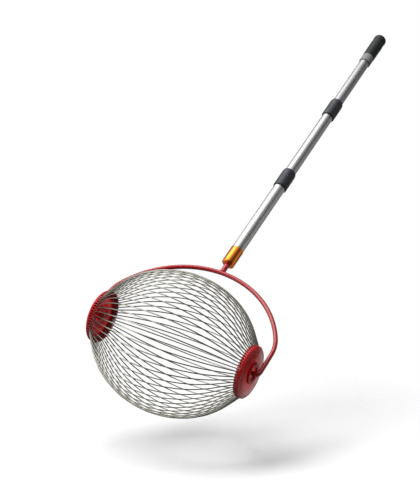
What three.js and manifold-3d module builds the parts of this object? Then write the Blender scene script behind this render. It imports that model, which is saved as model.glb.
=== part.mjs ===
// Roller collector for tennis balls: a wire cage turning in a red bow, on a
// pole of three telescoping tubes with twist collars and a rubber grip.
// The cage axle lies along x. The pole leans back towards +y. Lengths in mm.
import * as THREE from "three";
import { mergeVertices } from "three/addons/utils/BufferGeometryUtils.js";
import Module from "manifold-3d";

const wasm = await Module();
wasm.setup();

// General fits
const seatGap = 0.3;          // gap kept between two pieces that seat on each other
const cutOverrun = 1;         // how far a cutter reaches past the face that it cuts
const poleLean = THREE.MathUtils.degToRad(45);   // lean of the pole from upright

// Cage wires
const cageRadius = 125;
const cageHalfLength = 149;   // half length of the ellipse that the wires follow
const wireDiameter = 2;
const wirePairCount = 30;
const wireCurveShare = 0.81;  // share of the half length where a wire leaves the ellipse
const wireCurveSteps = 8;
const wireSides = 5;
const wireFootBend = 1.6;     // reach of the bend from the slanted run to the foot
const wireFootRadius = 36;    // axle to the end of a foot

// Cap covers
const coverOutset = 0.6;      // end of the ellipse to the inner face of a cover
const coverRadius = 46.8;
const rimThickness = 3;
const rimBevel = 2.4;
const coneHeight = 1.6;
const coneTopRadius = 27;
const coverHollowRadius = 33;
const coverHollowDepth = 2.4;
const sleeveRadius = 8;
const sleeveLength = 5;
const coverSegments = 36;

// Hub discs on the covers
const hubRadius = 19.5;
const hubHeight = 2.6;
const hubBevel = 1;
const hubRecessRadius = 12;

// Combs that hold the wire feet
const combRadius = 46.8;
const combWall = 8.5;
const combLength = 7.1;
const combRootThickness = 1.6;
const slotClearance = 0.25;   // room beside and behind a wire in its slot

// Bow of bent rod
const rodDiameter = 8;
const bowCageClearance = 42.1;   // cage wires to the rod at the top
const bowHubClearance = 4.6;     // hub face to the rod beside it
const bowLegSplay = 0.5;         // how much farther out the rod is at a hub than at a shoulder
const bowShoulderHeight = 62.5;
const bowShoulderReach = 16;  // length rounded on each side of a shoulder
const bowFootBend = 8;
const stubInset = 6;          // cover inner face to the end of the rod inside it
const rodBoreClearance = 0.3;
const bowArcSteps = 12;
const bendSteps = 4;
const rodSides = 10;

// Stem between bow and ferrule
const stemDiameter = 10;
const stemSaddleShare = 0.5;  // share of the rod radius where the stem starts
const stemShown = 17.6;       // rod to the lower face of the ferrule
const stemSocketDepth = 12;

// Ferrule
const ferruleDiameter = 24.2;
const ferruleLength = 37.5;
const ferruleChamfer = 1.8;
const ferruleGrooveHeight = 4.2;
const ferruleGrooveWidth = 1;
const ferruleGrooveDepth = 0.5;
const ferruleTopBevel = 0.4;
const ferruleFloor = 15;      // lower face to the floor of the tube socket

// Tubes, from the ferrule up
const lowerTubeDiameter = 22.6;
const tubeWall = 0.5;
const tubeClearance = 0.1;    // radial play between one tube and the next
const lowerTubeShown = 166;   // ferrule to the first collar
const middleTubeShown = 160.6;
const upperTubeShown = 123.5;
const middleTubeHidden = 60;  // length below the first collar mouth
const upperTubeHidden = 60;
const tubeSegments = 32;

// Twist collars
const lowerCollarDiameter = 26.9;
const upperCollarDiameter = 26.1;
const collarLength = 43.5;
const collarTaperLength = 8;
const collarTaper = 0.6;
const collarEndBevel = 1;
const collarMouthDepth = 3;
const collarMouthBevel = 0.6;
const collarLip = 0.7;        // thickness of the edge around the mouth
const collarSocketShare = 0.62; // share of the collar where the seat for the tube end is
const collarRibDepth = 0.3;
const collarRibMargin = 4;
const collarSegments = 44;

// Grip
const gripDiameter = 24.8;
const gripEndDiameter = 25.2;
const gripWaistDiameter = 24;
const gripLength = 63.9;
const gripDomeLength = 9.5;
const gripWaistHeight = 44.9;
const gripEdge = 0.8;
const gripBoreDepth = 48;
const gripRingDiameter = 23.9;
const gripRingLength = 18.8;
const gripSegments = 32;

const wireRadius = wireDiameter / 2;
const rodRadius = rodDiameter / 2;
const stemRadius = stemDiameter / 2;
const lowerTubeRadius = lowerTubeDiameter / 2;
const middleTubeRadius = lowerTubeRadius - tubeWall - tubeClearance;
const upperTubeRadius = middleTubeRadius - tubeWall - tubeClearance;
const landHeight = rimThickness + coneHeight;
const coverSpan = cageHalfLength + coverOutset;
const combRootFace = seatGap + combRootThickness;   // cover inner face to the bottom of a slot
const footPlane = coverSpan - combRootFace - slotClearance - wireRadius;
const combInnerRadius = combRadius - combWall;
const collarSocketDepth = collarLength * collarSocketShare;

// Bow, as drawn by the centre of its rod
const bowTopHeight = cageRadius + wireRadius + bowCageClearance + rodRadius;
const bowHalfSpan = coverSpan + landHeight + seatGap + hubHeight + bowHubClearance + rodRadius;
const bowShoulderSpan = bowHalfSpan - bowLegSplay;
const bowDrop = bowTopHeight - bowShoulderHeight;
const bowArcRadius = (bowShoulderSpan ** 2 + bowDrop ** 2) / (2 * bowDrop);

// Heights along the pole, measured from the axle
const ferruleStart = bowTopHeight + rodRadius + stemShown;
const ferruleTop = ferruleStart + ferruleLength;
const lowerCollarStart = ferruleTop + lowerTubeShown;
const middleTubeStart = lowerCollarStart - middleTubeHidden;
const upperCollarStart = lowerCollarStart + collarLength + middleTubeShown;
const upperTubeStart = upperCollarStart - upperTubeHidden;
const gripRingStart = upperCollarStart + collarLength + upperTubeShown;
const gripStart = gripRingStart + gripRingLength + seatGap;
const holdHeight = gripStart + gripLength / 2;

const redPlastic = new THREE.MeshStandardMaterial({ color: "#b3202c", roughness: 0.38, metalness: 0 });
const redPaint = new THREE.MeshStandardMaterial({ color: "#a82a30", roughness: 0.28, metalness: 0.1 });
const wireSteel = new THREE.MeshStandardMaterial({ color: "#8f908c", roughness: 0.32, metalness: 0.9 });
const aluminium = new THREE.MeshStandardMaterial({ color: "#c4c5c6", roughness: 0.25, metalness: 0.95 });
const orangeAnodised = new THREE.MeshStandardMaterial({ color: "#d8791a", roughness: 0.22, metalness: 0.85 });
const blackPlastic = new THREE.MeshStandardMaterial({ color: "#33353a", roughness: 0.45, metalness: 0 });
const blackRubber = new THREE.MeshStandardMaterial({ color: "#26272a", roughness: 0.7, metalness: 0 });
const greyRubber = new THREE.MeshStandardMaterial({ color: "#7f8182", roughness: 0.6, metalness: 0 });

// Path through given points, with a section cut square to the mean direction
class PointPath extends THREE.Curve {
  constructor(points) {
    super();
    this.points = points;
  }

  getUtoTmapping(u) {
    return u;
  }

  getPoint(t, target = new THREE.Vector3()) {
    const place = t * (this.points.length - 1);
    const index = Math.min(Math.floor(place), this.points.length - 2);
    return target.lerpVectors(this.points[index], this.points[index + 1], place - index);
  }

  getTangent(t, target = new THREE.Vector3()) {
    const last = this.points.length - 1;
    const index = Math.round(t * last);
    const before = this.points[Math.max(index - 1, 0)];
    const here = this.points[index];
    const after = this.points[Math.min(index + 1, last)];
    const arriving = here.clone().sub(before).normalize();
    const leaving = after.clone().sub(here).normalize();
    return target.copy(arriving).add(leaving).normalize();
  }
}

// Round bar with the given radius along a row of points
function barAlong(points, radius, sides) {
  const section = new THREE.Shape();
  for (let side = 0; side < sides; side += 1) {
    const angle = 2 * Math.PI * side / sides;
    const x = radius * Math.cos(angle);
    const y = radius * Math.sin(angle);
    if (side === 0) {
      section.moveTo(x, y);
    } else {
      section.lineTo(x, y);
    }
  }
  section.closePath();
  const steps = points.length - 1;
  return new THREE.ExtrudeGeometry(section, { steps, extrudePath: new PointPath(points), bevelEnabled: false });
}

// Solid of revolution about z from a closed outline of [radius, height] pairs
function turned(outline, segments) {
  const points = outline.map(([radius, height]) => new THREE.Vector2(radius, height));
  points.push(points[0].clone());
  const geometry = new THREE.LatheGeometry(points, segments);
  geometry.rotateX(Math.PI / 2);
  return geometry;
}

function toManifold(geometry) {
  const plain = geometry.clone();
  plain.deleteAttribute("normal");
  plain.deleteAttribute("uv");
  const merged = mergeVertices(plain, seatGap / 1000);
  return new wasm.Manifold(new wasm.Mesh({
    numProp: 3,
    vertProperties: new Float32Array(merged.attributes.position.array),
    triVerts: new Uint32Array(merged.index.array),
  }));
}

function fromManifold(solid) {
  const data = solid.getMesh();
  const geometry = new THREE.BufferGeometry();
  geometry.setAttribute("position", new THREE.BufferAttribute(new Float32Array(data.vertProperties), 3));
  geometry.setIndex(new THREE.BufferAttribute(new Uint32Array(data.triVerts), 1));
  geometry.computeVertexNormals();
  return geometry;
}

function piece(name, geometry, material) {
  const mesh = new THREE.Mesh(geometry, material);
  mesh.name = name;
  return mesh;
}

// Points of a bend between two straight runs, drawn as a quadratic curve
function bendPoints(start, corner, end, steps) {
  const curve = new THREE.QuadraticBezierCurve3(start, corner, end);
  return curve.getPoints(steps);
}

// One rib from the left foot to the right foot, as [x, radius] pairs
function ribOutline() {
  const endAngle = Math.asin(wireCurveShare);
  const leaveX = cageHalfLength * wireCurveShare;
  const leaveRadius = cageRadius * Math.cos(endAngle);
  const fall = cageRadius * Math.sin(endAngle) / (cageHalfLength * Math.cos(endAngle));
  const cornerRadius = leaveRadius - fall * (footPlane - leaveX);
  const slant = Math.hypot(1, fall);
  const bendX = footPlane - wireFootBend / slant;
  const bendRadius = cornerRadius + wireFootBend * fall / slant;
  const half = [];
  for (let step = 0; step <= wireCurveSteps / 2; step += 1) {
    const angle = 2 * endAngle * step / wireCurveSteps;
    half.push([cageHalfLength * Math.sin(angle), cageRadius * Math.cos(angle)]);
  }
  half.push([bendX, bendRadius]);
  half.push([footPlane, cornerRadius - wireFootBend]);
  half.push([footPlane, wireFootRadius]);
  const mirrored = half.slice(1).reverse().map(([x, radius]) => [-x, radius]);
  return mirrored.concat(half);
}

function aroundAxle([x, radius], angle) {
  return new THREE.Vector3(x, radius * Math.sin(angle), radius * Math.cos(angle));
}

// Two ribs bent from one length of wire, with the bend inside the right cap
function wirePair(index) {
  const pitch = Math.PI / wirePairCount;
  const firstAngle = (2 * index + 0.5) * pitch;
  const secondAngle = firstAngle + pitch;
  const rib = ribOutline();
  const out = rib.map((place) => aroundAxle(place, firstAngle));
  const back = rib.map((place) => aroundAxle(place, secondAngle)).reverse();
  const turnPlace = [footPlane, wireFootRadius - wireDiameter];
  const turnShare = 0.25;
  const turn = [
    aroundAxle(turnPlace, firstAngle + turnShare * pitch),
    aroundAxle(turnPlace, secondAngle - turnShare * pitch),
  ];
  const name = `wire_pair_${String(index + 1).padStart(2, "0")}`;
  return piece(name, barAlong([...out, ...turn, ...back], wireRadius, wireSides), wireSteel);
}

function coverGeometry() {
  const bore = rodRadius + rodBoreClearance;
  return turned([
    [bore, -sleeveLength],
    [sleeveRadius, -sleeveLength],
    [sleeveRadius, coverHollowDepth],
    [coneTopRadius, coverHollowDepth],
    [coverHollowRadius, 0],
    [coverRadius, 0],
    [coverRadius, rimThickness - rimBevel],
    [coverRadius - rimBevel, rimThickness],
    [coneTopRadius, landHeight],
    [bore, landHeight],
  ], coverSegments);
}

function hubGeometry() {
  const base = landHeight + seatGap;
  const face = base + hubHeight;
  return turned([
    [hubRecessRadius, base],
    [hubRadius, base],
    [hubRadius, face - hubBevel],
    [hubRadius - hubBevel, face],
    [hubRecessRadius + hubBevel, face],
    [hubRecessRadius, face - hubBevel],
  ], coverSegments);
}

// Ring with one slot for each wire foot, open towards the cage
function combGeometry() {
  const bottom = -seatGap - combLength;
  const ring = turned([
    [combInnerRadius, bottom],
    [combRadius, bottom],
    [combRadius, -seatGap],
    [combInnerRadius, -seatGap],
  ], 2 * wirePairCount);
  const slotWidth = wireDiameter + 2 * slotClearance;
  const slotLength = combLength - combRootThickness + cutOverrun;
  const cutter = new THREE.BoxGeometry(combWall + 2 * cutOverrun, slotWidth, slotLength);
  cutter.translate(combRadius - combWall / 2, 0, -combRootFace - slotLength / 2);
  const slots = [];
  for (let index = 0; index < 2 * wirePairCount; index += 1) {
    const slot = cutter.clone();
    slot.rotateZ((index + 0.5) * Math.PI / wirePairCount);
    slots.push(toManifold(slot));
  }
  const cut = slots.reduce((solid, slot) => solid.subtract(slot), toManifold(ring));
  return fromManifold(cut);
}

// Cap on one side of the cage: side is 1 for +x and -1 for -x
function cap(side, label) {
  const group = new THREE.Group();
  group.position.x = side * coverSpan;
  group.rotation.y = side * Math.PI / 2;
  group.add(piece(`${label}_cap_cover`, coverGeometry(), redPlastic));
  group.add(piece(`${label}_hub_disc`, hubGeometry(), redPlastic));
  group.add(piece(`${label}_wire_comb`, combGeometry(), redPlastic));
  return group;
}

// Right half of the bow from the top to the rod end, as points in the xz plane
function bowHalf() {
  const arcCentre = bowTopHeight - bowArcRadius;
  const shoulderAngle = Math.atan2(bowShoulderSpan, bowShoulderHeight - arcCentre);
  const shoulder = new THREE.Vector3(bowShoulderSpan, 0, bowShoulderHeight);
  const foot = new THREE.Vector3(bowHalfSpan, 0, 0);
  const down = foot.clone().sub(shoulder).normalize();
  const endAngle = shoulderAngle - bowShoulderReach / bowArcRadius;
  const points = [];
  for (let step = 0; step <= bowArcSteps; step += 1) {
    const angle = endAngle * step / bowArcSteps;
    points.push(new THREE.Vector3(bowArcRadius * Math.sin(angle), 0, arcCentre + bowArcRadius * Math.cos(angle)));
  }
  const legStart = shoulder.clone().addScaledVector(down, bowShoulderReach);
  points.push(...bendPoints(points.at(-1), shoulder, legStart, bendSteps).slice(1));
  const footStart = foot.clone().addScaledVector(down, -bowFootBend);
  const footEnd = new THREE.Vector3(bowHalfSpan - bowFootBend, 0, 0);
  points.push(...bendPoints(footStart, foot, footEnd, bendSteps));
  points.push(new THREE.Vector3(coverSpan - stubInset, 0, 0));
  return points;
}

function bow() {
  const right = bowHalf();
  const left = right.slice(1).reverse().map((point) => new THREE.Vector3(-point.x, 0, point.z));
  return piece("bow", barAlong([...left, ...right], rodRadius, rodSides), redPaint);
}

// Stem with its lower end cut to sit astride the rod
function stem() {
  const start = bowTopHeight + rodRadius * stemSaddleShare;
  const end = ferruleStart + stemSocketDepth - seatGap;
  const bar = new THREE.CylinderGeometry(stemRadius, stemRadius, end - start, tubeSegments);
  bar.rotateX(Math.PI / 2);
  bar.translate(0, 0, (start + end) / 2);
  const reach = stemDiameter + 2 * cutOverrun;
  const saddle = new THREE.CylinderGeometry(rodRadius + seatGap, rodRadius + seatGap, reach, tubeSegments);
  saddle.rotateZ(Math.PI / 2);
  saddle.translate(0, 0, bowTopHeight);
  return piece("stem", fromManifold(toManifold(bar).subtract(toManifold(saddle))), redPaint);
}

function ferrule() {
  const radius = ferruleDiameter / 2;
  const grooveTop = ferruleGrooveHeight + ferruleGrooveWidth;
  const stemBore = stemRadius + seatGap;
  const tubeBore = lowerTubeRadius + seatGap;
  const geometry = turned([
    [stemBore, 0],
    [radius - ferruleChamfer, 0],
    [radius, ferruleChamfer],
    [radius, ferruleGrooveHeight],
    [radius - ferruleGrooveDepth, ferruleGrooveHeight],
    [radius - ferruleGrooveDepth, grooveTop],
    [radius, grooveTop],
    [radius, ferruleLength - ferruleTopBevel],
    [radius - ferruleTopBevel / 2, ferruleLength],
    [tubeBore, ferruleLength],
    [tubeBore, ferruleFloor],
    [stemBore, ferruleFloor],
  ], tubeSegments);
  geometry.translate(0, 0, ferruleStart);
  return piece("ferrule", geometry, orangeAnodised);
}

function tube(name, radius, start, end) {
  const geometry = turned([
    [radius - tubeWall, start],
    [radius, start],
    [radius, end],
    [radius - tubeWall, end],
  ], tubeSegments);
  return piece(name, geometry, aluminium);
}

// Twist collar over the end of one tube, with the next tube leaving at its top
function collar(name, diameter, heldRadius, slidingRadius, start) {
  const radius = diameter / 2;
  const mouthRadius = radius - collarMouthBevel;
  const ribTop = collarLength - collarTaperLength;
  const geometry = turned([
    [mouthRadius - collarLip, 0],
    [mouthRadius, 0],
    [radius, collarMouthBevel],
    [radius, collarRibMargin],
    [radius, ribTop - collarRibMargin],
    [radius, ribTop],
    [radius - collarTaper, collarLength - collarEndBevel],
    [radius - collarTaper - collarEndBevel, collarLength],
    [slidingRadius + seatGap, collarLength],
    [slidingRadius + seatGap, collarSocketDepth],
    [heldRadius + seatGap, collarSocketDepth],
    [heldRadius + seatGap, collarMouthDepth],
  ], collarSegments);
  cutRibs(geometry, radius, collarRibMargin, ribTop - collarRibMargin);
  geometry.translate(0, 0, start);
  return piece(name, geometry, blackPlastic);
}

// Every second row of points on the given surface is sunk by the rib depth
function cutRibs(geometry, radius, low, high) {
  const places = geometry.attributes.position;
  const step = 2 * Math.PI / collarSegments;
  for (let index = 0; index < places.count; index += 1) {
    const x = places.getX(index);
    const y = places.getY(index);
    const z = places.getZ(index);
    const onRow = Math.abs(Math.round(Math.atan2(y, x) / step)) % 2 === 1;
    const onSurface = Math.hypot(x, y) > radius - collarRibDepth / 2;
    const inZone = z > low - collarRibDepth && z < high + collarRibDepth;
    if (onRow && onSurface && inZone) {
      const share = (radius - collarRibDepth) / radius;
      places.setXY(index, x * share, y * share);
    }
  }
}

function gripRing() {
  const radius = gripRingDiameter / 2;
  const bore = upperTubeRadius + seatGap;
  const geometry = turned([
    [bore, 0],
    [radius - gripEdge, 0],
    [radius, gripEdge],
    [radius, gripRingLength],
    [bore, gripRingLength],
  ], gripSegments);
  geometry.translate(0, 0, gripRingStart);
  return piece("grip_ring", geometry, greyRubber);
}

function grip() {
  const radius = gripDiameter / 2;
  const endRadius = gripEndDiameter / 2;
  const bore = upperTubeRadius + seatGap;
  const domeStart = gripLength - gripDomeLength;
  const domeSteps = 4;
  const outline = [
    [bore, 0],
    [radius - gripEdge, 0],
    [radius, gripEdge],
    [endRadius, gripWaistHeight - gripEdge],
    [gripWaistDiameter / 2, gripWaistHeight],
    [endRadius, gripWaistHeight + gripEdge],
    [endRadius, domeStart],
  ];
  for (let step = 1; step < domeSteps; step += 1) {
    const angle = Math.PI / 2 * step / domeSteps;
    outline.push([endRadius * Math.cos(angle), domeStart + gripDomeLength * Math.sin(angle)]);
  }
  outline.push([0, gripLength]);
  outline.push([0, gripBoreDepth]);
  outline.push([bore, gripBoreDepth]);
  const geometry = turned(outline, gripSegments);
  geometry.translate(0, 0, gripStart);
  return piece("grip", geometry, blackRubber);
}

function cage() {
  const group = new THREE.Group();
  for (let index = 0; index < wirePairCount; index += 1) {
    group.add(wirePair(index));
  }
  group.add(cap(1, "right"));
  group.add(cap(-1, "left"));
  return group;
}

function pole() {
  const group = new THREE.Group();
  const lowerTubeStart = ferruleStart + ferruleFloor + seatGap;
  const lowerTubeEnd = lowerCollarStart + collarSocketDepth - seatGap;
  const middleTubeEnd = upperCollarStart + collarSocketDepth - seatGap;
  const upperTubeEnd = gripStart + gripBoreDepth - seatGap;
  group.add(stem());
  group.add(ferrule());
  group.add(tube("lower_tube", lowerTubeRadius, lowerTubeStart, lowerTubeEnd));
  group.add(tube("middle_tube", middleTubeRadius, middleTubeStart, middleTubeEnd));
  group.add(tube("upper_tube", upperTubeRadius, upperTubeStart, upperTubeEnd));
  group.add(collar("lower_collar", lowerCollarDiameter, lowerTubeRadius, middleTubeRadius, lowerCollarStart));
  group.add(collar("upper_collar", upperCollarDiameter, middleTubeRadius, upperTubeRadius, upperCollarStart));
  group.add(gripRing());
  group.add(grip());
  return group;
}

// The collector is built upright about its axle, leaned back, and placed with
// the middle of the grip at the origin
const collector = new THREE.Group();
collector.add(cage());
collector.add(bow());
collector.add(pole());
collector.rotation.x = -poleLean;
collector.position.set(0, -holdHeight * Math.sin(poleLean), -holdHeight * Math.cos(poleLean));

const root = new THREE.Group();
root.add(collector);

export default root;
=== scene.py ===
import math

import bmesh
import bpy
import numpy as np
from mathutils import Matrix, Vector

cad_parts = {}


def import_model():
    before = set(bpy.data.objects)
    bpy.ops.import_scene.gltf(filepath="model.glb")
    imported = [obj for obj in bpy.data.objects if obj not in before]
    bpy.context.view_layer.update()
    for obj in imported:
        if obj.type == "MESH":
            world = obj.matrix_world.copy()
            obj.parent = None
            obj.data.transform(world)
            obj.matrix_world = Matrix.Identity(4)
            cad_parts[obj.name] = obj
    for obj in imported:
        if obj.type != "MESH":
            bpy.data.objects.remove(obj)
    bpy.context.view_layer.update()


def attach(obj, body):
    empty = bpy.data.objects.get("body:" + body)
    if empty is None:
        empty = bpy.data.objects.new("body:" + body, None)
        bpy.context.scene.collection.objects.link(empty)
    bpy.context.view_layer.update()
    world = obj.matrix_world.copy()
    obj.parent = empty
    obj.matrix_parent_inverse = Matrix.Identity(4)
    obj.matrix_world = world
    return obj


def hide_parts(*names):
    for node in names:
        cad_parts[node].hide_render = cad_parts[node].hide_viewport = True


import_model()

# Sizes in millimetres, with the cage axle along X and the pole straight up

SEAT_GAP = 0.3
CAGE_RADIUS, CAGE_HALF = 125, 149
ROD_RADIUS, ROD_PLAY = 4, 0.3

# From the middle of the cage to the inner face of a cover
COVER_SPAN = 149.6

# Places and lengths along the pole, from the axle

BOW_TOP = 172.1
STEM_SHOWN = 17.6
FERRULE = BOW_TOP + ROD_RADIUS + STEM_SHOWN
FERRULE_LENGTH, COLLAR_LENGTH, RING_LENGTH, GRIP_LENGTH = 37.5, 43.5, 18.8, 63.9
LOWER_SHOWN, MIDDLE_SHOWN, UPPER_SHOWN = 166, 160.6, 123.5
LOWER_COLLAR = FERRULE + FERRULE_LENGTH + LOWER_SHOWN
UPPER_COLLAR = LOWER_COLLAR + COLLAR_LENGTH + MIDDLE_SHOWN
RING_START = UPPER_COLLAR + COLLAR_LENGTH + UPPER_SHOWN
GRIP_START = RING_START + RING_LENGTH + SEAT_GAP

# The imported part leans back, with its origin at the middle of the grip

MM = 0.001
LEAN = math.radians(45)
HOLD = GRIP_START + GRIP_LENGTH / 2


def to_row(points):
    """Millimetre points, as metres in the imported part's frame."""
    x, y, z = np.asarray(points, float).reshape(-1, 3).T * MM
    s, c = math.sin(LEAN), math.cos(LEAN)
    hold = HOLD * MM
    return np.c_[x, y * c + z * s - hold * s, z * c - y * s - hold * c]


# Meshes

# Metres within which points merge, and the share of a side that an easing may take
MERGE_REACH = 1e-6
EASE_LIMIT = 0.45


def make(name, verts, faces, material, body, nodes, sharp=40):
    """One shaded mesh that rides on a body and stands for the given nodes."""
    mesh = bpy.data.meshes.new(name)
    mesh.from_pydata([tuple(p) for p in to_row(verts)], [], faces)
    bm = bmesh.new()
    bm.from_mesh(mesh)
    bmesh.ops.remove_doubles(bm, verts=bm.verts, dist=MERGE_REACH)
    bmesh.ops.recalc_face_normals(bm, faces=bm.faces)
    bm.to_mesh(mesh)
    bm.free()
    mesh.polygons.foreach_set("use_smooth", [True] * len(mesh.polygons))
    mesh.set_sharp_from_angle(angle=math.radians(sharp))
    mesh.materials.append(material)
    obj = bpy.data.objects.new(name, mesh)
    bpy.context.scene.collection.objects.link(obj)
    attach(obj, body)
    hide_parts(*nodes)
    return obj


def quadratic(start, corner, end, steps):
    """Points on the curve from start to end that sets out towards the corner."""
    start, corner, end = (np.array(p, float) for p in (start, corner, end))
    shares = np.linspace(0, 1, steps + 1)
    return [tuple((1 - t) ** 2 * start + 2 * t * (1 - t) * corner + t * t * end) for t in shares]


def rounded(corners, ease, steps=4):
    """Closed outline with every corner eased; a corner may carry its own easing."""
    outline = []
    for index, corner in enumerate(corners):
        here = np.array(corner[:2], float)
        reach = corner[2] if len(corner) > 2 else ease
        before = np.array(corners[index - 1][:2], float) - here
        after = np.array(corners[(index + 1) % len(corners)][:2], float) - here
        gap_before, gap_after = np.linalg.norm(before), np.linalg.norm(after)
        reach = min(reach, EASE_LIMIT * gap_before, EASE_LIMIT * gap_after)
        if reach <= 0:
            outline.append(tuple(here))
            continue
        start = here + before / gap_before * reach
        end = here + after / gap_after * reach
        outline += quadratic(start, here, end, steps)
    return outline


def lathe(outline, segments, wave=None):
    """Turned solid about Z from a closed outline; wave changes a radius by angle."""
    rows = len(outline)
    verts, faces = [], []
    for segment in range(segments):
        angle = 2 * math.pi * segment / segments
        for radius, height in outline:
            r = radius + (wave(radius, height, angle) if wave else 0)
            verts.append((r * math.cos(angle), r * math.sin(angle), height))
    for segment in range(segments):
        first, second = segment * rows, (segment + 1) % segments * rows
        for row in range(rows):
            following = (row + 1) % rows
            faces.append((first + row, second + row, second + following, first + following))
    return verts, faces


def stacked(rings):
    """Solid through rings with the same number of points, closed at both ends."""
    count = len(rings[0])
    last = count * (len(rings) - 1)
    faces = []
    for lower in range(0, last, count):
        upper = lower + count
        for k in range(count):
            n = (k + 1) % count
            faces.append((lower + k, lower + n, upper + n, upper + k))
    faces.append(tuple(range(count)))
    faces.append(tuple(range(last, last + count)))
    return [point for ring in rings for point in ring], faces


def tube_along(points, radius, sides):
    """Round bar along a row of points, with closed ends."""
    points = [Vector(p) for p in points]
    last = len(points) - 1
    side = (points[1] - points[0]).normalized().orthogonal().normalized()
    angles = [2 * math.pi * k / sides for k in range(sides)]
    rings = []
    for index, point in enumerate(points):
        ahead = (points[min(index + 1, last)] - points[max(index - 1, 0)]).normalized()
        side = (side - ahead * side.dot(ahead)).normalized()
        other = ahead.cross(side)
        rings.append([tuple(point + radius * (math.cos(a) * side + math.sin(a) * other)) for a in angles])
    return stacked(rings)


def moved(shape, turn, place):
    """A mesh turned by a 3x3 matrix and moved, before the pole leans."""
    verts, faces = shape
    turned = np.asarray(verts, float) @ np.asarray(turn, float).T + np.asarray(place, float)
    return [tuple(v) for v in turned], faces


def raised(shape, height):
    """A mesh moved up the pole."""
    return moved(shape, np.eye(3), (0, 0, height))


def joined(*shapes):
    """Several meshes as one."""
    verts, faces = [], []
    for more, sides in shapes:
        start = len(verts)
        verts.extend(more)
        faces.extend(tuple(i + start for i in face) for face in sides)
    return verts, faces


# Materials, whose tones and roughness change between these values of a noise

TONE_LOW, TONE_HIGH = 0.35, 0.65
ROUGH_LOW, ROUGH_HIGH = 0.3, 0.7


def srgb(code):
    """Linear colour from a hex code."""
    parts = [int(code[i:i + 2], 16) / 255 for i in (1, 3, 5)]
    return tuple(p / 12.92 if p <= 0.04045 else ((p + 0.055) / 1.055) ** 2.4 for p in parts) + (1,)


def set_stops(ramp, stops):
    """Gives a colour ramp its stops, each a position and a colour."""
    elements = ramp.color_ramp.elements
    while len(elements) < len(stops):
        elements.new(0.5)
    for element, (position, colour) in zip(elements, stops):
        element.position = position
        element.color = colour


class Shader:
    """Small helper around one material's node tree."""

    def __init__(self, name):
        self.material = bpy.data.materials.new(name)
        self.material.use_nodes = True
        self.tree = self.material.node_tree
        self.bsdf = self.tree.nodes["Principled BSDF"]

    def set(self, **values):
        """Values of the surface, named as its sockets with underscores."""
        for key, value in values.items():
            self.bsdf.inputs[key.replace("_", " ")].default_value = value

    def node(self, kind, **values):
        """New node with values for its sockets."""
        node = self.tree.nodes.new(kind)
        for key, value in values.items():
            node.inputs[key.replace("_", " ")].default_value = value
        return node

    def link(self, output, target):
        self.tree.links.new(output, target)

    def place(self, stretch):
        """Object coordinates; for a stretch they are turned so that Z runs up the pole, and scaled."""
        coords = self.node("ShaderNodeTexCoord").outputs["Object"]
        if stretch is None:
            return coords
        turn = self.node("ShaderNodeMapping", Rotation=(LEAN, 0, 0))
        scale = self.node("ShaderNodeMapping", Scale=stretch)
        self.link(coords, turn.inputs["Vector"])
        self.link(turn.outputs["Vector"], scale.inputs["Vector"])
        return scale.outputs["Vector"]

    def noise(self, scale, detail, stretch=None):
        """Noise that rides on the piece, drawn out by a stretch."""
        noise = self.node("ShaderNodeTexNoise", Scale=scale, Detail=detail, Roughness=0.5)
        self.link(self.place(stretch), noise.inputs["Vector"])
        return noise.outputs["Fac"]

    def tones(self, noise, dark, light):
        """Colour that changes with the noise between two tones."""
        ramp = self.node("ShaderNodeValToRGB")
        set_stops(ramp, [(TONE_LOW, srgb(dark)), (TONE_HIGH, srgb(light))])
        self.link(noise, ramp.inputs["Fac"])
        self.link(ramp.outputs["Color"], self.bsdf.inputs["Base Color"])

    def roughness(self, noise, low, high):
        """Roughness that changes with the noise from low to high."""
        span = self.node("ShaderNodeMapRange", From_Min=ROUGH_LOW, From_Max=ROUGH_HIGH)
        span.inputs["To Min"].default_value = low
        span.inputs["To Max"].default_value = high
        self.link(noise, span.inputs["Value"])
        self.link(span.outputs["Result"], self.bsdf.inputs["Roughness"])

    def bump(self, noise, distance, strength):
        """Fine relief from the noise, its distance in metres."""
        bump = self.node("ShaderNodeBump", Strength=strength, Distance=distance)
        self.link(noise, bump.inputs["Height"])
        self.link(bump.outputs["Normal"], self.bsdf.inputs["Normal"])


def red_plastic(name, glow, coat, dark, light):
    """Moulded plastic; glow is how much light passes through it, coat how much gloss lies on it."""
    s = Shader(name)
    s.set(Coat_Weight=coat, Coat_Roughness=0.12, Specular_IOR_Level=0.15)
    s.set(Subsurface_Weight=glow, Subsurface_Radius=(1.0, 0.06, 0.06), Subsurface_Scale=0.014)
    s.tones(s.noise(scale=60, detail=4), dark, light)
    s.roughness(s.noise(scale=220, detail=3), low=0.30, high=0.40)
    s.bump(s.noise(scale=1500, detail=2), distance=0.00006, strength=0.5)
    return s.material


def red_paint():
    """Glossy paint on the bow and stem."""
    s = Shader("red_paint")
    s.set(Coat_Weight=0.85, Coat_Roughness=0.07, Specular_IOR_Level=0.15)
    s.tones(s.noise(scale=35, detail=4), "#9b0e15", "#a41219")
    s.roughness(s.noise(scale=300, detail=3), low=0.26, high=0.36)
    s.bump(s.noise(scale=500, detail=2), distance=0.00003, strength=0.3)
    return s.material


def wire_steel():
    """Drawn wire, a little uneven."""
    s = Shader("wire_steel")
    s.set(Metallic=1.0)
    s.tones(s.noise(scale=90, detail=4), "#85847c", "#93928a")
    s.roughness(s.noise(scale=500, detail=3), low=0.13, high=0.19)
    s.bump(s.noise(scale=1200, detail=2), distance=0.00004, strength=0.5)
    return s.material


def aluminium(name, rough, dark, light):
    """Satin tube with fine streaks along it."""
    s = Shader(name)
    s.set(Metallic=1.0)
    streaks = s.noise(scale=700, detail=2, stretch=(1, 1, 0.01))
    s.tones(streaks, dark, light)
    s.roughness(streaks, low=rough - 0.02, high=rough + 0.02)
    s.bump(streaks, distance=0.000006, strength=0.4)
    return s.material


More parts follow.
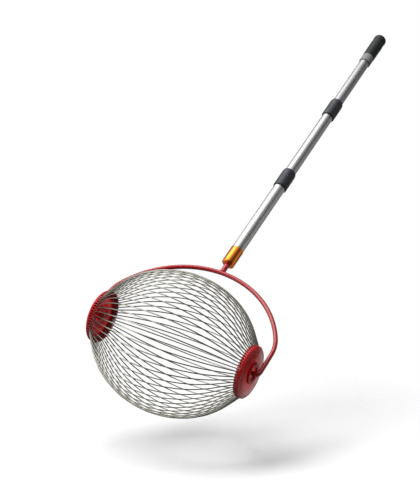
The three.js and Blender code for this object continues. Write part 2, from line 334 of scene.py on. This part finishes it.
def orange_anodised():
    """Anodised aluminium with fine turning marks round it."""
    s = Shader("orange_anodised")
    s.set(Metallic=1.0, Coat_Weight=0.4, Coat_Roughness=0.1)
    rings = s.noise(scale=500, detail=2, stretch=(0.01, 0.01, 1))
    s.tones(rings, "#df751b", "#e87d21")
    s.roughness(rings, low=0.15, high=0.19)
    s.bump(rings, distance=0.000006, strength=0.4)
    return s.material


def black_plastic():
    """Satin plastic with a fine moulded grain."""
    s = Shader("black_plastic")
    s.set(Specular_IOR_Level=0.4)
    s.tones(s.noise(scale=80, detail=4), "#212429", "#292c31")
    s.roughness(s.noise(scale=400, detail=3), low=0.36, high=0.5)
    s.bump(s.noise(scale=2500, detail=2), distance=0.00008, strength=0.6)
    return s.material


def black_rubber():
    """Matt rubber with a fine grain."""
    s = Shader("black_rubber")
    s.set(Specular_IOR_Level=0.35)
    s.tones(s.noise(scale=70, detail=4), "#151718", "#1e2022")
    s.roughness(s.noise(scale=300, detail=3), low=0.5, high=0.66)
    s.bump(s.noise(scale=2200, detail=3), distance=0.00012, strength=0.7)
    return s.material


def grey_rubber():
    """Lighter rubber of the ring below the grip."""
    s = Shader("grey_rubber")
    s.tones(s.noise(scale=90, detail=4), "#6f7273", "#7e8182")
    s.roughness(s.noise(scale=300, detail=3), low=0.48, high=0.62)
    s.bump(s.noise(scale=2200, detail=3), distance=0.0001, strength=0.6)
    return s.material


# The covers' red is lighter than that of the teeth: painted light on the faces of the caps, which the lamps
# leave in shade.
RED_COVER_PAINTED_LIGHT = red_plastic("red_plastic", glow=0.85, coat=0.5, dark="#d81a1e", light="#e12126")
RED_TEETH = red_plastic("red_teeth", glow=0.05, coat=0.5, dark="#b8191d", light="#c21f24")
RED_HUB = red_plastic("red_hub", glow=0.4, coat=0.12, dark="#c8191d", light="#d22024")
RED_PAINT = red_paint()
WIRE_STEEL = wire_steel()
# The three tubes are of one aluminium, whose tone steps darker from the lower tube to the middle and upper
# ones: painted shade up the pole.
LOWER_ALUMINIUM = aluminium("lower_aluminium", rough=0.44, dark="#b9b9b8", light="#bfbfbe")
MIDDLE_ALUMINIUM_PAINTED_SHADE = aluminium("middle_aluminium_painted_shade", rough=0.43, dark="#acacac", light="#b2b2b2")
UPPER_ALUMINIUM_PAINTED_SHADE = aluminium("upper_aluminium_painted_shade", rough=0.52, dark="#9e9ea0", light="#a4a4a6")
ORANGE = orange_anodised()
BLACK_PLASTIC = black_plastic()
BLACK_RUBBER = black_rubber()
GREY_RUBBER = grey_rubber()

# Cage wires, which leave an ellipse at a share of its half length and run straight to their feet

PAIRS = 30
WIRE_RADIUS, WIRE_SIDES = 1.0, 8
LEAVE_SHARE = 0.81
CURVE_STEPS, BEND_STEPS = 12, 4
FOOT_PLANE, FOOT_BEND, FOOT_RADIUS = 146.45, 1.6, 36
HAIRPIN_DROP = 2
HAIRPIN_SHARES = (0.2, 0.5, 0.8)


def rib_outline():
    """One rib as (x, radius) places from the left foot to the right foot."""
    end = math.asin(LEAVE_SHARE)
    leave_x, leave_r = CAGE_HALF * LEAVE_SHARE, CAGE_RADIUS * math.cos(end)
    fall = CAGE_RADIUS * math.sin(end) / (CAGE_HALF * math.cos(end))
    corner_r = leave_r - fall * (FOOT_PLANE - leave_x)
    slant = math.hypot(1, fall)
    angles = np.linspace(0, end, CURVE_STEPS + 1)
    half = [(CAGE_HALF * math.sin(a), CAGE_RADIUS * math.cos(a)) for a in angles]
    bend = (FOOT_PLANE - FOOT_BEND / slant, corner_r + FOOT_BEND * fall / slant)
    half += quadratic(bend, (FOOT_PLANE, corner_r), (FOOT_PLANE, corner_r - FOOT_BEND), BEND_STEPS)
    half.append((FOOT_PLANE, FOOT_RADIUS))
    return [(-x, r) for x, r in reversed(half[1:])] + half


def around(x, radius, angle):
    """Place at an angle round the axle."""
    return (x, radius * math.sin(angle), radius * math.cos(angle))


def wires():
    """Two neighbouring ribs a piece, joined by a bend inside the right cap."""
    rib = rib_outline()
    pitch = math.pi / PAIRS
    for index in range(PAIRS):
        first = (2 * index + 0.5) * pitch
        second = first + pitch
        path = [around(x, r, first) for x, r in rib]
        path += [around(FOOT_PLANE, FOOT_RADIUS - HAIRPIN_DROP, first + pitch * t) for t in HAIRPIN_SHARES]
        path += [around(x, r, second) for x, r in reversed(rib)]
        name = f"wire_pair_{index + 1:02d}"
        shape = tube_along(path, WIRE_RADIUS, WIRE_SIDES)
        piece = make("smooth_" + name, *shape, WIRE_STEEL, "cage", [name], sharp=60)


wires()

# End caps, drawn with the inner face of the cover at height zero and the cage below it

COVER_SEGMENTS, HUB_SEGMENTS, COMB_SEGMENTS = 144, 96, 120
COVER_RADIUS = 46.8
BORE_RADIUS = ROD_RADIUS + ROD_PLAY
SLEEVE_RADIUS, SLEEVE_LENGTH = 8, 5
HOLLOW_FLOOR, HOLLOW_EDGE, HOLLOW_DEPTH = 27, 33, 2.4
LAND_HEIGHT = 4.6
HUB_BASE, HUB_FACE = LAND_HEIGHT + SEAT_GAP, 7.5
HUB_RADIUS, HUB_RECESS = 19.5, 12
COMB_OUTER, COMB_INNER = COVER_RADIUS, 38.3
COMB_TOP, SLOT_END, COMB_END = -0.3, -1.2, -7.4
SLOTS, HALF_SLOT = 60, 1.25

# Sides of a tooth as radius, easing of the corners and places across, then its levels as
# height and how far the outer side is drawn in
TOOTH_SIDES = ((COMB_OUTER, 0.55, (-1, -0.8, 0, 0.8, 1)), (COMB_INNER, 0.2, (1, 0, -1)))
TOOTH_LEVELS = ((SLOT_END + 0.2, 0), (COMB_END + 0.7, 0), (COMB_END + 0.2, 0.25), (COMB_END, 0.8))


def cover_outline():
    """Shallow stepped face with a rim that rounds over to the comb."""
    inside = [
        (BORE_RADIUS, -SLEEVE_LENGTH), (SLEEVE_RADIUS, -SLEEVE_LENGTH, 0.5),
        (SLEEVE_RADIUS, HOLLOW_DEPTH, 0.4), (HOLLOW_FLOOR, HOLLOW_DEPTH, 1.5), (HOLLOW_EDGE, 0, 1),
    ]
    rim = [
        (COVER_RADIUS - 0.5, 0, 0.2), (COVER_RADIUS, 0.3, 0.2), (COVER_RADIUS, 0.7, 0.3),
        (44.6, 2.7, 0.4), (43.6, 3, 0.3), (42.5, 3, 0.2),
    ]
    groove = [(42.1, 2.6, 0.2), (41.6, 3.1, 0.2)]
    cone = [(34.6, 3.7, 0.2), (34.1, 4.05, 0.2), (27.6, 4.55, 0.3)]
    land = [
        (27.1, LAND_HEIGHT - 0.5, 0.2), (26.6, LAND_HEIGHT, 0.2), (20.4, LAND_HEIGHT, 0.2),
        (BORE_RADIUS, LAND_HEIGHT, 0.3),
    ]
    return rounded(inside + rim + groove + cone + land, ease=0.2)


def hub_outline():
    """Flat ring with a recess in its middle."""
    return rounded([
        (HUB_RECESS, HUB_BASE, 0.2), (HUB_RADIUS, HUB_BASE, 0.2), (HUB_RADIUS, HUB_FACE - 1, 0.5),
        (HUB_RADIUS - 1, HUB_FACE, 0.5), (13.5, HUB_FACE, 0.5), (12.6, 6.7, 0.4), (HUB_RECESS, 6.4, 0.3),
    ], ease=0.2)


def tooth(middle):
    """One tooth of a comb about an angle, with eased corners and a rounded outer end."""
    section = []
    for radius, ease, places in TOOTH_SIDES:
        reach = math.pi / SLOTS - HALF_SLOT / radius
        for place in places:
            r = radius - (ease if abs(place) == 1 else 0)
            section.append((r, middle + reach * place, radius == COMB_OUTER))
    rings = []
    for height, shrink in TOOTH_LEVELS:
        ring = [(r - shrink if outer else r, angle) for r, angle, outer in section]
        rings.append([(r * math.cos(angle), r * math.sin(angle), height) for r, angle in ring])
    return stacked(rings)


def comb_shape():
    """Ring with teeth towards the cage, one wire foot between each two."""
    corners = [(COMB_INNER, SLOT_END), (COMB_OUTER, SLOT_END), (COMB_OUTER, COMB_TOP), (COMB_INNER, COMB_TOP)]
    ring = lathe(rounded(corners, ease=0.1, steps=3), COMB_SEGMENTS)
    return joined(ring, *[tooth(2 * math.pi * index / SLOTS) for index in range(SLOTS)])


def caps():
    """The same three pieces at both ends of the cage."""
    pieces = (
        # The covers' lighter red is painted light on the cap faces.
        ("cover", "cap_cover", lathe(cover_outline(), COVER_SEGMENTS), RED_COVER_PAINTED_LIGHT),
        ("hub", "hub_disc", lathe(hub_outline(), HUB_SEGMENTS), RED_HUB),
        ("comb", "wire_comb", comb_shape(), RED_TEETH),
    )
    for side, label in ((1, "right"), (-1, "left")):
        turn = [[0, 0, side], [0, 1, 0], [-side, 0, 0]]
        for name, node, shape, material in pieces:
            placed = moved(shape, turn, (side * COVER_SPAN, 0, 0))
            piece = make(f"{label}_{name}", *placed, material, "cage", [f"{label}_{node}"], sharp=35)


caps()

# Bow and stem

BOW_ARC = 179.55
SHOULDER_HEIGHT, SHOULDER_REACH = 62.5, 16
BOW_HALF, FOOT_REACH = 165.7, 8
STUB_INSET = 6
ARC_STEPS, SHOULDER_STEPS, FOOT_STEPS = 48, 12, 10
ROD_SIDES, STEM_SIDES = 20, 48

# Levels of the stem as height above the middle of the rod, half width along the bow and half
# depth; below the saddle's top they follow the rod down at its sides
STEM_LEVELS = (
    (1.9, 7.6, 3.6), (2.8, 6.9, 4.3), (3.9, 6.2, 4.8), (5.5, 5.5, 5),
    (7.5, 5.1, 5), (9.5, 5, 5), (21.6, 5, 5), (33.1, 5, 5),
)
SADDLE_TOP, SADDLE_DROP, SADDLE_EDGE = 4.5, 1.2, 3.9


def bow_half():
    """Middle of the rod from the top of the bow to its right end inside the cap."""
    centre = BOW_TOP - BOW_ARC
    angle = math.acos((SHOULDER_HEIGHT - centre) / BOW_ARC)
    shoulder = np.array([BOW_ARC * math.sin(angle), 0, SHOULDER_HEIGHT])
    foot = np.array([BOW_HALF, 0, 0.0])
    down = (foot - shoulder) / np.linalg.norm(foot - shoulder)
    angles = np.linspace(0, angle - SHOULDER_REACH / BOW_ARC, ARC_STEPS + 1)
    points = [(BOW_ARC * math.sin(a), 0, centre + BOW_ARC * math.cos(a)) for a in angles]
    points += quadratic(points[-1], shoulder, shoulder + down * SHOULDER_REACH, SHOULDER_STEPS)[1:]
    points += quadratic(foot - down * FOOT_REACH, foot, (BOW_HALF - FOOT_REACH, 0, 0), FOOT_STEPS)
    points.append((COVER_SPAN - STUB_INSET, 0, 0))
    return points


def bow():
    """Bent rod whose two ends run into the sleeves of the covers."""
    right = bow_half()
    left = [(-x, y, z) for x, y, z in reversed(right[1:])]
    shape = tube_along(left + right, ROD_RADIUS, ROD_SIDES)
    piece = make("bow_rod", *shape, RED_PAINT, "lower_section", ["bow"], sharp=60)


def stem():
    """Stem that flows into the rod in a welded fillet."""
    rings = []
    for height, wide, deep in STEM_LEVELS:
        ring = []
        for k in range(STEM_SIDES):
            a = 2 * math.pi * k / STEM_SIDES
            y = deep * math.sin(a)
            across = min(abs(y), SADDLE_EDGE) / ROD_RADIUS
            drop = SADDLE_DROP * (1 - math.sqrt(1 - across ** 2)) if height < SADDLE_TOP else 0
            ring.append((wide * math.cos(a), y, BOW_TOP + height - drop))
        rings.append(ring)
    piece = make("welded_stem", *stacked(rings), RED_PAINT, "lower_section", ["stem"], sharp=60)


bow()
stem()

# Pole

TUBE_RADII, WALL = (11.3, 10.7, 10.1), 0.5
TUBE_SEGMENTS, COLLAR_SEGMENTS, GRIP_SEGMENTS = 128, 176, 112
# How far a thinner tube reaches below the collar that it slides in
HIDDEN = 60
STEM_SOCKET, TUBE_SOCKET = 5.3, TUBE_RADII[0] + SEAT_GAP
FERRULE_RADIUS, FERRULE_FLOOR = 12.1, 15
COLLAR_SEAT, COLLAR_LEAD = 26.9, 3
RIBS, RIB_ROWS = 22, 12
RIB_START, RIB_END, RIB_FADE = 3.2, 33, 1.5
RIB_DEPTH, RIB_SKIN = 0.28, 0.15
GRIP_BORE, GRIP_BORE_DEPTH, GRIP_BORE_PLAY = 10.4, 48, 0.4
GRIP_RADIUS, GRIP_END_RADIUS = 12.4, 12.6
GRIP_SIDE_START, GRIP_ROWS = 0.9, 60
WAIST_HEIGHT, WAIST_REACH, WAIST_DEPTH = 44.9, 3.2, 0.55
RIPPLE_PITCH, RIPPLE_DEPTH = 2.6, 0.06
DOME, DOME_INSET, DOME_ANGLE, DOME_STEPS = 9.5, 0.02, 0.05, 12
RING_RADIUS = 11.95


def ferrule():
    """Turned sleeve with a chamfer and a groove, hollow at both ends."""
    r, groove = FERRULE_RADIUS, FERRULE_RADIUS - 0.5
    outline = rounded([
        (STEM_SOCKET, 0), (10, 0, 0.5), (r, 1.9, 0.5), (r, 3.9, 0.15), (groove, 4.1, 0.1),
        (groove, 5, 0.1), (r, 5.2, 0.15), (r, FERRULE_LENGTH - 0.4, 0.25), (r - 0.2, FERRULE_LENGTH, 0.2),
        (TUBE_SOCKET, FERRULE_LENGTH, 0.1), (TUBE_SOCKET, FERRULE_FLOOR, 0.1),
        (STEM_SOCKET, FERRULE_FLOOR, 0.1),
    ], ease=0.1)
    shape = raised(lathe(outline, TUBE_SEGMENTS), FERRULE)
    piece = make("anodised_ferrule", *shape, ORANGE, "lower_section", ["ferrule"], sharp=35)


def tube(name, radius, start, end, body, material):
    """Thin-walled tube between two heights."""
    corners = [(radius - WALL, start), (radius, start), (radius, end), (radius - WALL, end)]
    shape = lathe(rounded(corners, ease=0.2, steps=3), TUBE_SEGMENTS)
    piece = make("drawn_" + name, *shape, material, body, [name])


def tubes():
    """Three tubes, of which each thinner one starts inside the one below it."""
    thick, middle, thin = TUBE_RADII
    seat = COLLAR_SEAT - SEAT_GAP
    floor_gap = FERRULE_FLOOR + SEAT_GAP
    bore_end = GRIP_BORE_DEPTH - GRIP_BORE_PLAY
    middle_start, thin_start = LOWER_COLLAR - HIDDEN, UPPER_COLLAR - HIDDEN
    # The middle and upper tubes take darker copies of the lower tube's aluminium, which is painted shade.
    tube("lower_tube", thick, FERRULE + floor_gap, LOWER_COLLAR + seat, "lower_section", LOWER_ALUMINIUM)
    tube("middle_tube", middle, middle_start, UPPER_COLLAR + seat, "middle_section", MIDDLE_ALUMINIUM_PAINTED_SHADE)
    tube("upper_tube", thin, thin_start, GRIP_START + bore_end, "handle", UPPER_ALUMINIUM_PAINTED_SHADE)


def collar(name, radius, held, sliding, start, body):
    """Twist collar that seats on the held tube and lets the sliding one through."""

    def between_ribs(r, height, angle):
        """How far the side is taken in between the ribs."""
        if r < radius - RIB_SKIN or not RIB_START < height < RIB_END:
            return 0
        fade = min(1, (height - RIB_START) / RIB_FADE, (RIB_END - height) / RIB_FADE)
        return -RIB_DEPTH * fade * (0.5 - 0.5 * math.cos(RIBS * angle)) ** 2

    seat, mouth = held + SEAT_GAP, sliding + SEAT_GAP
    edge = [(radius - 1.3, 0, 0.2), (radius - 0.6, 0, 0.3), (radius, 1.4, 0.5)]
    side = [(radius, z, 0) for z in np.linspace(RIB_START, RIB_END, RIB_ROWS)]
    taper = [(radius - 0.05, 36.4, 0.6), (radius - 0.6, 40.9, 1.5), (radius - 1.7, COLLAR_LENGTH, 0.8)]
    bore = [
        (mouth, COLLAR_LENGTH, 0.3), (mouth, COLLAR_SEAT, 0.1),
        (seat, COLLAR_SEAT, 0.1), (seat, COLLAR_LEAD, 0.3),
    ]
    outline = rounded(edge + side + taper + bore, ease=0.2)
    shape = raised(lathe(outline, COLLAR_SEGMENTS, between_ribs), start)
    piece = make("moulded_" + name, *shape, BLACK_PLASTIC, body, [name], sharp=50)


def grip_side(height):
    """Radius of the rubber grip, with its waist and fine ripple."""
    base = GRIP_RADIUS + (GRIP_END_RADIUS - GRIP_RADIUS) * min(height / WAIST_HEIGHT, 1)
    waist = WAIST_DEPTH * math.exp(-((height - WAIST_HEIGHT) / WAIST_REACH) ** 2)
    ripple = RIPPLE_DEPTH * (math.sin(height * 2 * math.pi / RIPPLE_PITCH) - 1)
    return base - waist + ripple


def grip():
    """Rubber sleeve with a domed closed end."""
    dome_base, dome_radius = GRIP_LENGTH - DOME, GRIP_END_RADIUS - DOME_INSET
    side = [(grip_side(z), z, 0) for z in np.linspace(GRIP_SIDE_START, dome_base, GRIP_ROWS)]
    angles = np.linspace(DOME_ANGLE, math.pi / 2, DOME_STEPS)[:-1]
    dome = [(dome_radius * math.cos(a), dome_base + DOME * math.sin(a), 0) for a in angles]
    inside = [(0, GRIP_LENGTH, 0), (0, GRIP_BORE_DEPTH, 0), (GRIP_BORE, GRIP_BORE_DEPTH, 0.1)]
    outline = rounded([(GRIP_BORE, 0, 0.1), (11.7, 0, 0.4)] + side + dome + inside, ease=0.2)
    shape = raised(lathe(outline, GRIP_SEGMENTS), GRIP_START)
    piece = make("rubber_grip", *shape, BLACK_RUBBER, "handle", ["grip"], sharp=50)


def grip_ring():
    """Grey ring with eased ends and a fine step near the lower one."""
    r = RING_RADIUS
    outline = rounded([
        (GRIP_BORE, 0, 0.2), (r - 0.8, 0, 0.3), (r, 0.8, 0.4), (r, 2.2, 0.2), (r - 0.15, 2.5, 0.2),
        (r, RING_LENGTH - 0.6, 0.4), (r - 0.3, RING_LENGTH, 0.2), (GRIP_BORE, RING_LENGTH, 0.1),
    ], ease=0.2)
    shape = raised(lathe(outline, GRIP_SEGMENTS), RING_START)
    piece = make("grey_ring", *shape, GREY_RUBBER, "handle", ["grip_ring"], sharp=45)


ferrule()
tubes()
collar("lower_collar", 13.45, TUBE_RADII[0], TUBE_RADII[1], LOWER_COLLAR, "lower_lock")
collar("upper_collar", 13.05, TUBE_RADII[1], TUBE_RADII[2], UPPER_COLLAR, "upper_lock")
grip()
grip_ring()

# Camera, with axes and a place in metres that fit the photograph

RIGHT = Vector((0.86684, 0.42675, 0.25782))
DOWN = Vector((0.29754, -0.02785, -0.9543))
FORWARD = Vector((-0.40007, 0.90394, -0.15112))
CAMERA_PLACE = Vector((1.00827, -2.82084, -0.01702))
FOCAL_PIXELS, PHOTO_HEIGHT = 1458.1, 485
SENSOR = 36


def camera():
    """Camera of the photograph; its sensor runs along the longer side of the frame."""
    data = bpy.data.cameras.new("camera")
    data.sensor_width = SENSOR
    data.lens = FOCAL_PIXELS / PHOTO_HEIGHT * SENSOR
    obj = bpy.data.objects.new("camera", data)
    turn = Matrix((RIGHT, -DOWN, -FORWARD)).transposed().to_4x4()
    obj.matrix_world = Matrix.Translation(CAMERA_PLACE) @ turn
    bpy.context.scene.collection.objects.link(obj)
    bpy.context.scene.camera = obj


# Lamps and floor in metres, level for the photograph, whose camera looks down by the pitch

PITCH = math.radians(10)
LEVEL_UP = (-DOWN * math.cos(PITCH) - FORWARD * math.sin(PITCH)).normalized()
LEVEL_AWAY = (FORWARD * math.cos(PITCH) - DOWN * math.sin(PITCH)).normalized()
CAGE_CENTRE = Vector(to_row([(0, 0, 0)])[0])
FLOOR_SHIFT, FLOOR_DROP = 0.05, 0.198
FLOOR_REACH, FLOOR_FULL = 0.62, 0.42
FLOOR_RINGS, FLOOR_SEGMENTS = 16, 64
FLOOR_WHITE = 0.95


def in_view(right, up, away):
    """Place given from the cage centre, level with the floor."""
    return CAGE_CENTRE + RIGHT * right + LEVEL_UP * up + LEVEL_AWAY * away


def lamp(name, place, target, size, size_y, power):
    """Soft lamp that faces its target; reflections see the world instead of it."""
    data = bpy.data.lights.new(name, "AREA")
    data.shape = "RECTANGLE"
    data.size = size
    data.size_y = size_y
    data.energy = power
    obj = bpy.data.objects.new(name, data)
    obj.location = place
    obj.rotation_euler = (target - place).to_track_quat("-Z", "Y").to_euler()
    obj.visible_glossy = False
    bpy.context.scene.collection.objects.link(obj)


def lamps():
    """Soft key from above and a weaker lamp in front, both on the left."""
    key_place = in_view(right=-1.4, up=4.3, away=-0.6)
    front_place = in_view(right=-3.3, up=3.3, away=-2.7)
    front_target = in_view(right=0.1, up=0.3, away=0)
    lamp("key", key_place, CAGE_CENTRE, size=2.2, size_y=3.4, power=225)
    lamp("front", front_place, front_target, size=1.6, size_y=1.6, power=80)


def chosen(tree, share, first, second):
    """The first shader at a share of zero and the second at a share of one."""
    mix = tree.nodes.new("ShaderNodeMixShader")
    tree.links.new(share, mix.inputs["Fac"])
    tree.links.new(first, mix.inputs[1])
    tree.links.new(second, mix.inputs[2])
    return mix.outputs["Shader"]


def floor_paper():
    """White paper that is clear where the floor fades out."""
    material = bpy.data.materials.new("floor_paper")
    material.use_nodes = True
    tree = material.node_tree
    tree.nodes.clear()
    out = tree.nodes.new("ShaderNodeOutputMaterial")
    paper = tree.nodes.new("ShaderNodeBsdfDiffuse")
    paper.inputs["Color"].default_value = (FLOOR_WHITE, FLOOR_WHITE, FLOOR_WHITE, 1)
    clear = tree.nodes.new("ShaderNodeBsdfTransparent")
    shown = tree.nodes.new("ShaderNodeAttribute")
    shown.attribute_name = "shown"
    seen = chosen(tree, shown.outputs["Fac"], clear.outputs["BSDF"], paper.outputs["BSDF"])
    tree.links.new(seen, out.inputs["Surface"])
    return material


def floor():
    """Round white floor that fades out towards its edge."""
    centre = in_view(FLOOR_SHIFT, -FLOOR_DROP, 0)
    depth = LEVEL_UP.cross(RIGHT)
    verts, faces, shown = [tuple(centre)], [], [1.0]
    for ring in range(1, FLOOR_RINGS + 1):
        r = FLOOR_REACH * ring / FLOOR_RINGS
        for k in range(FLOOR_SEGMENTS):
            a = 2 * math.pi * k / FLOOR_SEGMENTS
            verts.append(tuple(centre + RIGHT * r * math.cos(a) + depth * r * math.sin(a)))
            shown.append(min(1.0, (FLOOR_REACH - r) / (FLOOR_REACH - FLOOR_FULL)))
    for k in range(FLOOR_SEGMENTS):
        faces.append((0, 1 + k, 1 + (k + 1) % FLOOR_SEGMENTS))
    for inner in range(1, len(verts) - FLOOR_SEGMENTS, FLOOR_SEGMENTS):
        outer = inner + FLOOR_SEGMENTS
        for k in range(FLOOR_SEGMENTS):
            n = (k + 1) % FLOOR_SEGMENTS
            faces.append((inner + k, outer + k, outer + n, inner + n))
    mesh = bpy.data.meshes.new("floor")
    mesh.from_pydata(verts, [], faces)
    mesh.attributes.new("shown", "FLOAT", "POINT").data.foreach_set("value", shown)
    mesh.materials.append(floor_paper())
    obj = bpy.data.objects.new("floor", mesh)
    bpy.context.scene.collection.objects.link(obj)
    obj.visible_glossy = False
    obj.visible_diffuse = False


# World

# Only reflections see the studio. A run of brightness crosses the pole from the upper left to
# the lower right, boxes add light to it and cards take light away. A box or card is given as its
# axis, the two cosines to that axis between which it sets in, and its values there. One box is
# overhead and one behind on the right. One card is behind on the upper left, one where the face
# of the right cap reflects, and one stands for the dim room on the camera's side.
ACROSS = RIGHT * 0.825 - LEVEL_UP * 0.563
RUN = (
    (-1.0, 1.0), (-0.95, 1.0), (-0.88, 0.56), (-0.7, 0.47), (-0.5, 0.4), (-0.3, 0.31), (-0.15, 0.21),
    (0.0, 0.13), (0.15, 0.075), (0.3, 0.04), (0.48, 0.035), (0.6, 0.085), (0.75, 0.16), (1.0, 0.2),
)
RUN_STRENGTH = 3.2
OVERHEAD_BOX = ((-RIGHT * 0.35 - DOWN * 0.92).normalized(), (0.84, 0.95), (0, 3.0))
BACK_BOX = ((RIGHT * 0.5 + DOWN * 0.2 + FORWARD * 0.84).normalized(), (0.9, 0.99), (0, 0.55))
BACK_CARD = ((FORWARD * 0.9 - ACROSS * 0.43).normalized(), (0.5, 0.9), (1, 0.16))
CAP_CARD = ((RIGHT * 0.79 + DOWN * 0.25 + FORWARD * 0.56).normalized(), (0.945, 0.995), (1, 0.03))
ROOM_CARD = (-FORWARD, (0.4, 0.75), (1, 0.06))
SOFT_LIGHT = 0.17


def background(tree, strength, colour=None):
    """World light in white, or in the colour that a node gives."""
    node = tree.nodes.new("ShaderNodeBackground")
    node.inputs["Color"].default_value = (1, 1, 1, 1)
    node.inputs["Strength"].default_value = strength
    if colour:
        tree.links.new(colour, node.inputs["Color"])
    return node.outputs["Background"]


def towards(tree, direction, axis, reach, values):
    """Value that changes from the first to the second as the direction turns towards the axis."""
    dot = tree.nodes.new("ShaderNodeVectorMath")
    dot.operation = "DOT_PRODUCT"
    dot.inputs[1].default_value = tuple(axis)
    tree.links.new(direction, dot.inputs[0])
    span = tree.nodes.new("ShaderNodeMapRange")
    span.inputs["From Min"].default_value, span.inputs["From Max"].default_value = reach
    span.inputs["To Min"].default_value, span.inputs["To Max"].default_value = values
    tree.links.new(dot.outputs["Value"], span.inputs["Value"])
    return span.outputs["Result"]


def combined(tree, operation, first, second):
    """Two values in one math node; the second may be a plain number."""
    node = tree.nodes.new("ShaderNodeMath")
    node.operation = operation
    tree.links.new(first, node.inputs[0])
    if isinstance(second, float):
        node.inputs[1].default_value = second
    else:
        tree.links.new(second, node.inputs[1])
    return node.outputs["Value"]


def studio(tree, direction):
    """Brightness that a reflection sees in a direction."""
    ramp = tree.nodes.new("ShaderNodeValToRGB")
    set_stops(ramp, [((side + 1) / 2, (light, light, light, 1)) for side, light in RUN])
    tree.links.new(towards(tree, direction, ACROSS, (-1, 1), (0, 1)), ramp.inputs["Fac"])
    light = combined(tree, "MULTIPLY", ramp.outputs["Color"], RUN_STRENGTH)
    for box in (OVERHEAD_BOX, BACK_BOX):
        light = combined(tree, "ADD", light, towards(tree, direction, *box))
    for card in (BACK_CARD, CAP_CARD, ROOM_CARD):
        light = combined(tree, "MULTIPLY", light, towards(tree, direction, *card))
    return light


def world():
    """White for the eye, the studio for reflections and weak even light for the rest."""
    data = bpy.data.worlds.new("studio")
    data.use_nodes = True
    data.cycles.sampling_method = "NONE"
    tree = data.node_tree
    tree.nodes.clear()
    out = tree.nodes.new("ShaderNodeOutputWorld")
    direction = tree.nodes.new("ShaderNodeTexCoord").outputs["Generated"]
    path = tree.nodes.new("ShaderNodeLightPath")
    reflected = background(tree, 1.0, studio(tree, direction))
    light = chosen(tree, path.outputs["Is Glossy Ray"], background(tree, SOFT_LIGHT), reflected)
    seen = chosen(tree, path.outputs["Is Camera Ray"], light, background(tree, 1.0))
    tree.links.new(seen, out.inputs["Surface"])
    bpy.context.scene.world = data


camera()
world()
lamps()
floor()
bpy.context.scene.view_settings.view_transform = "Standard"
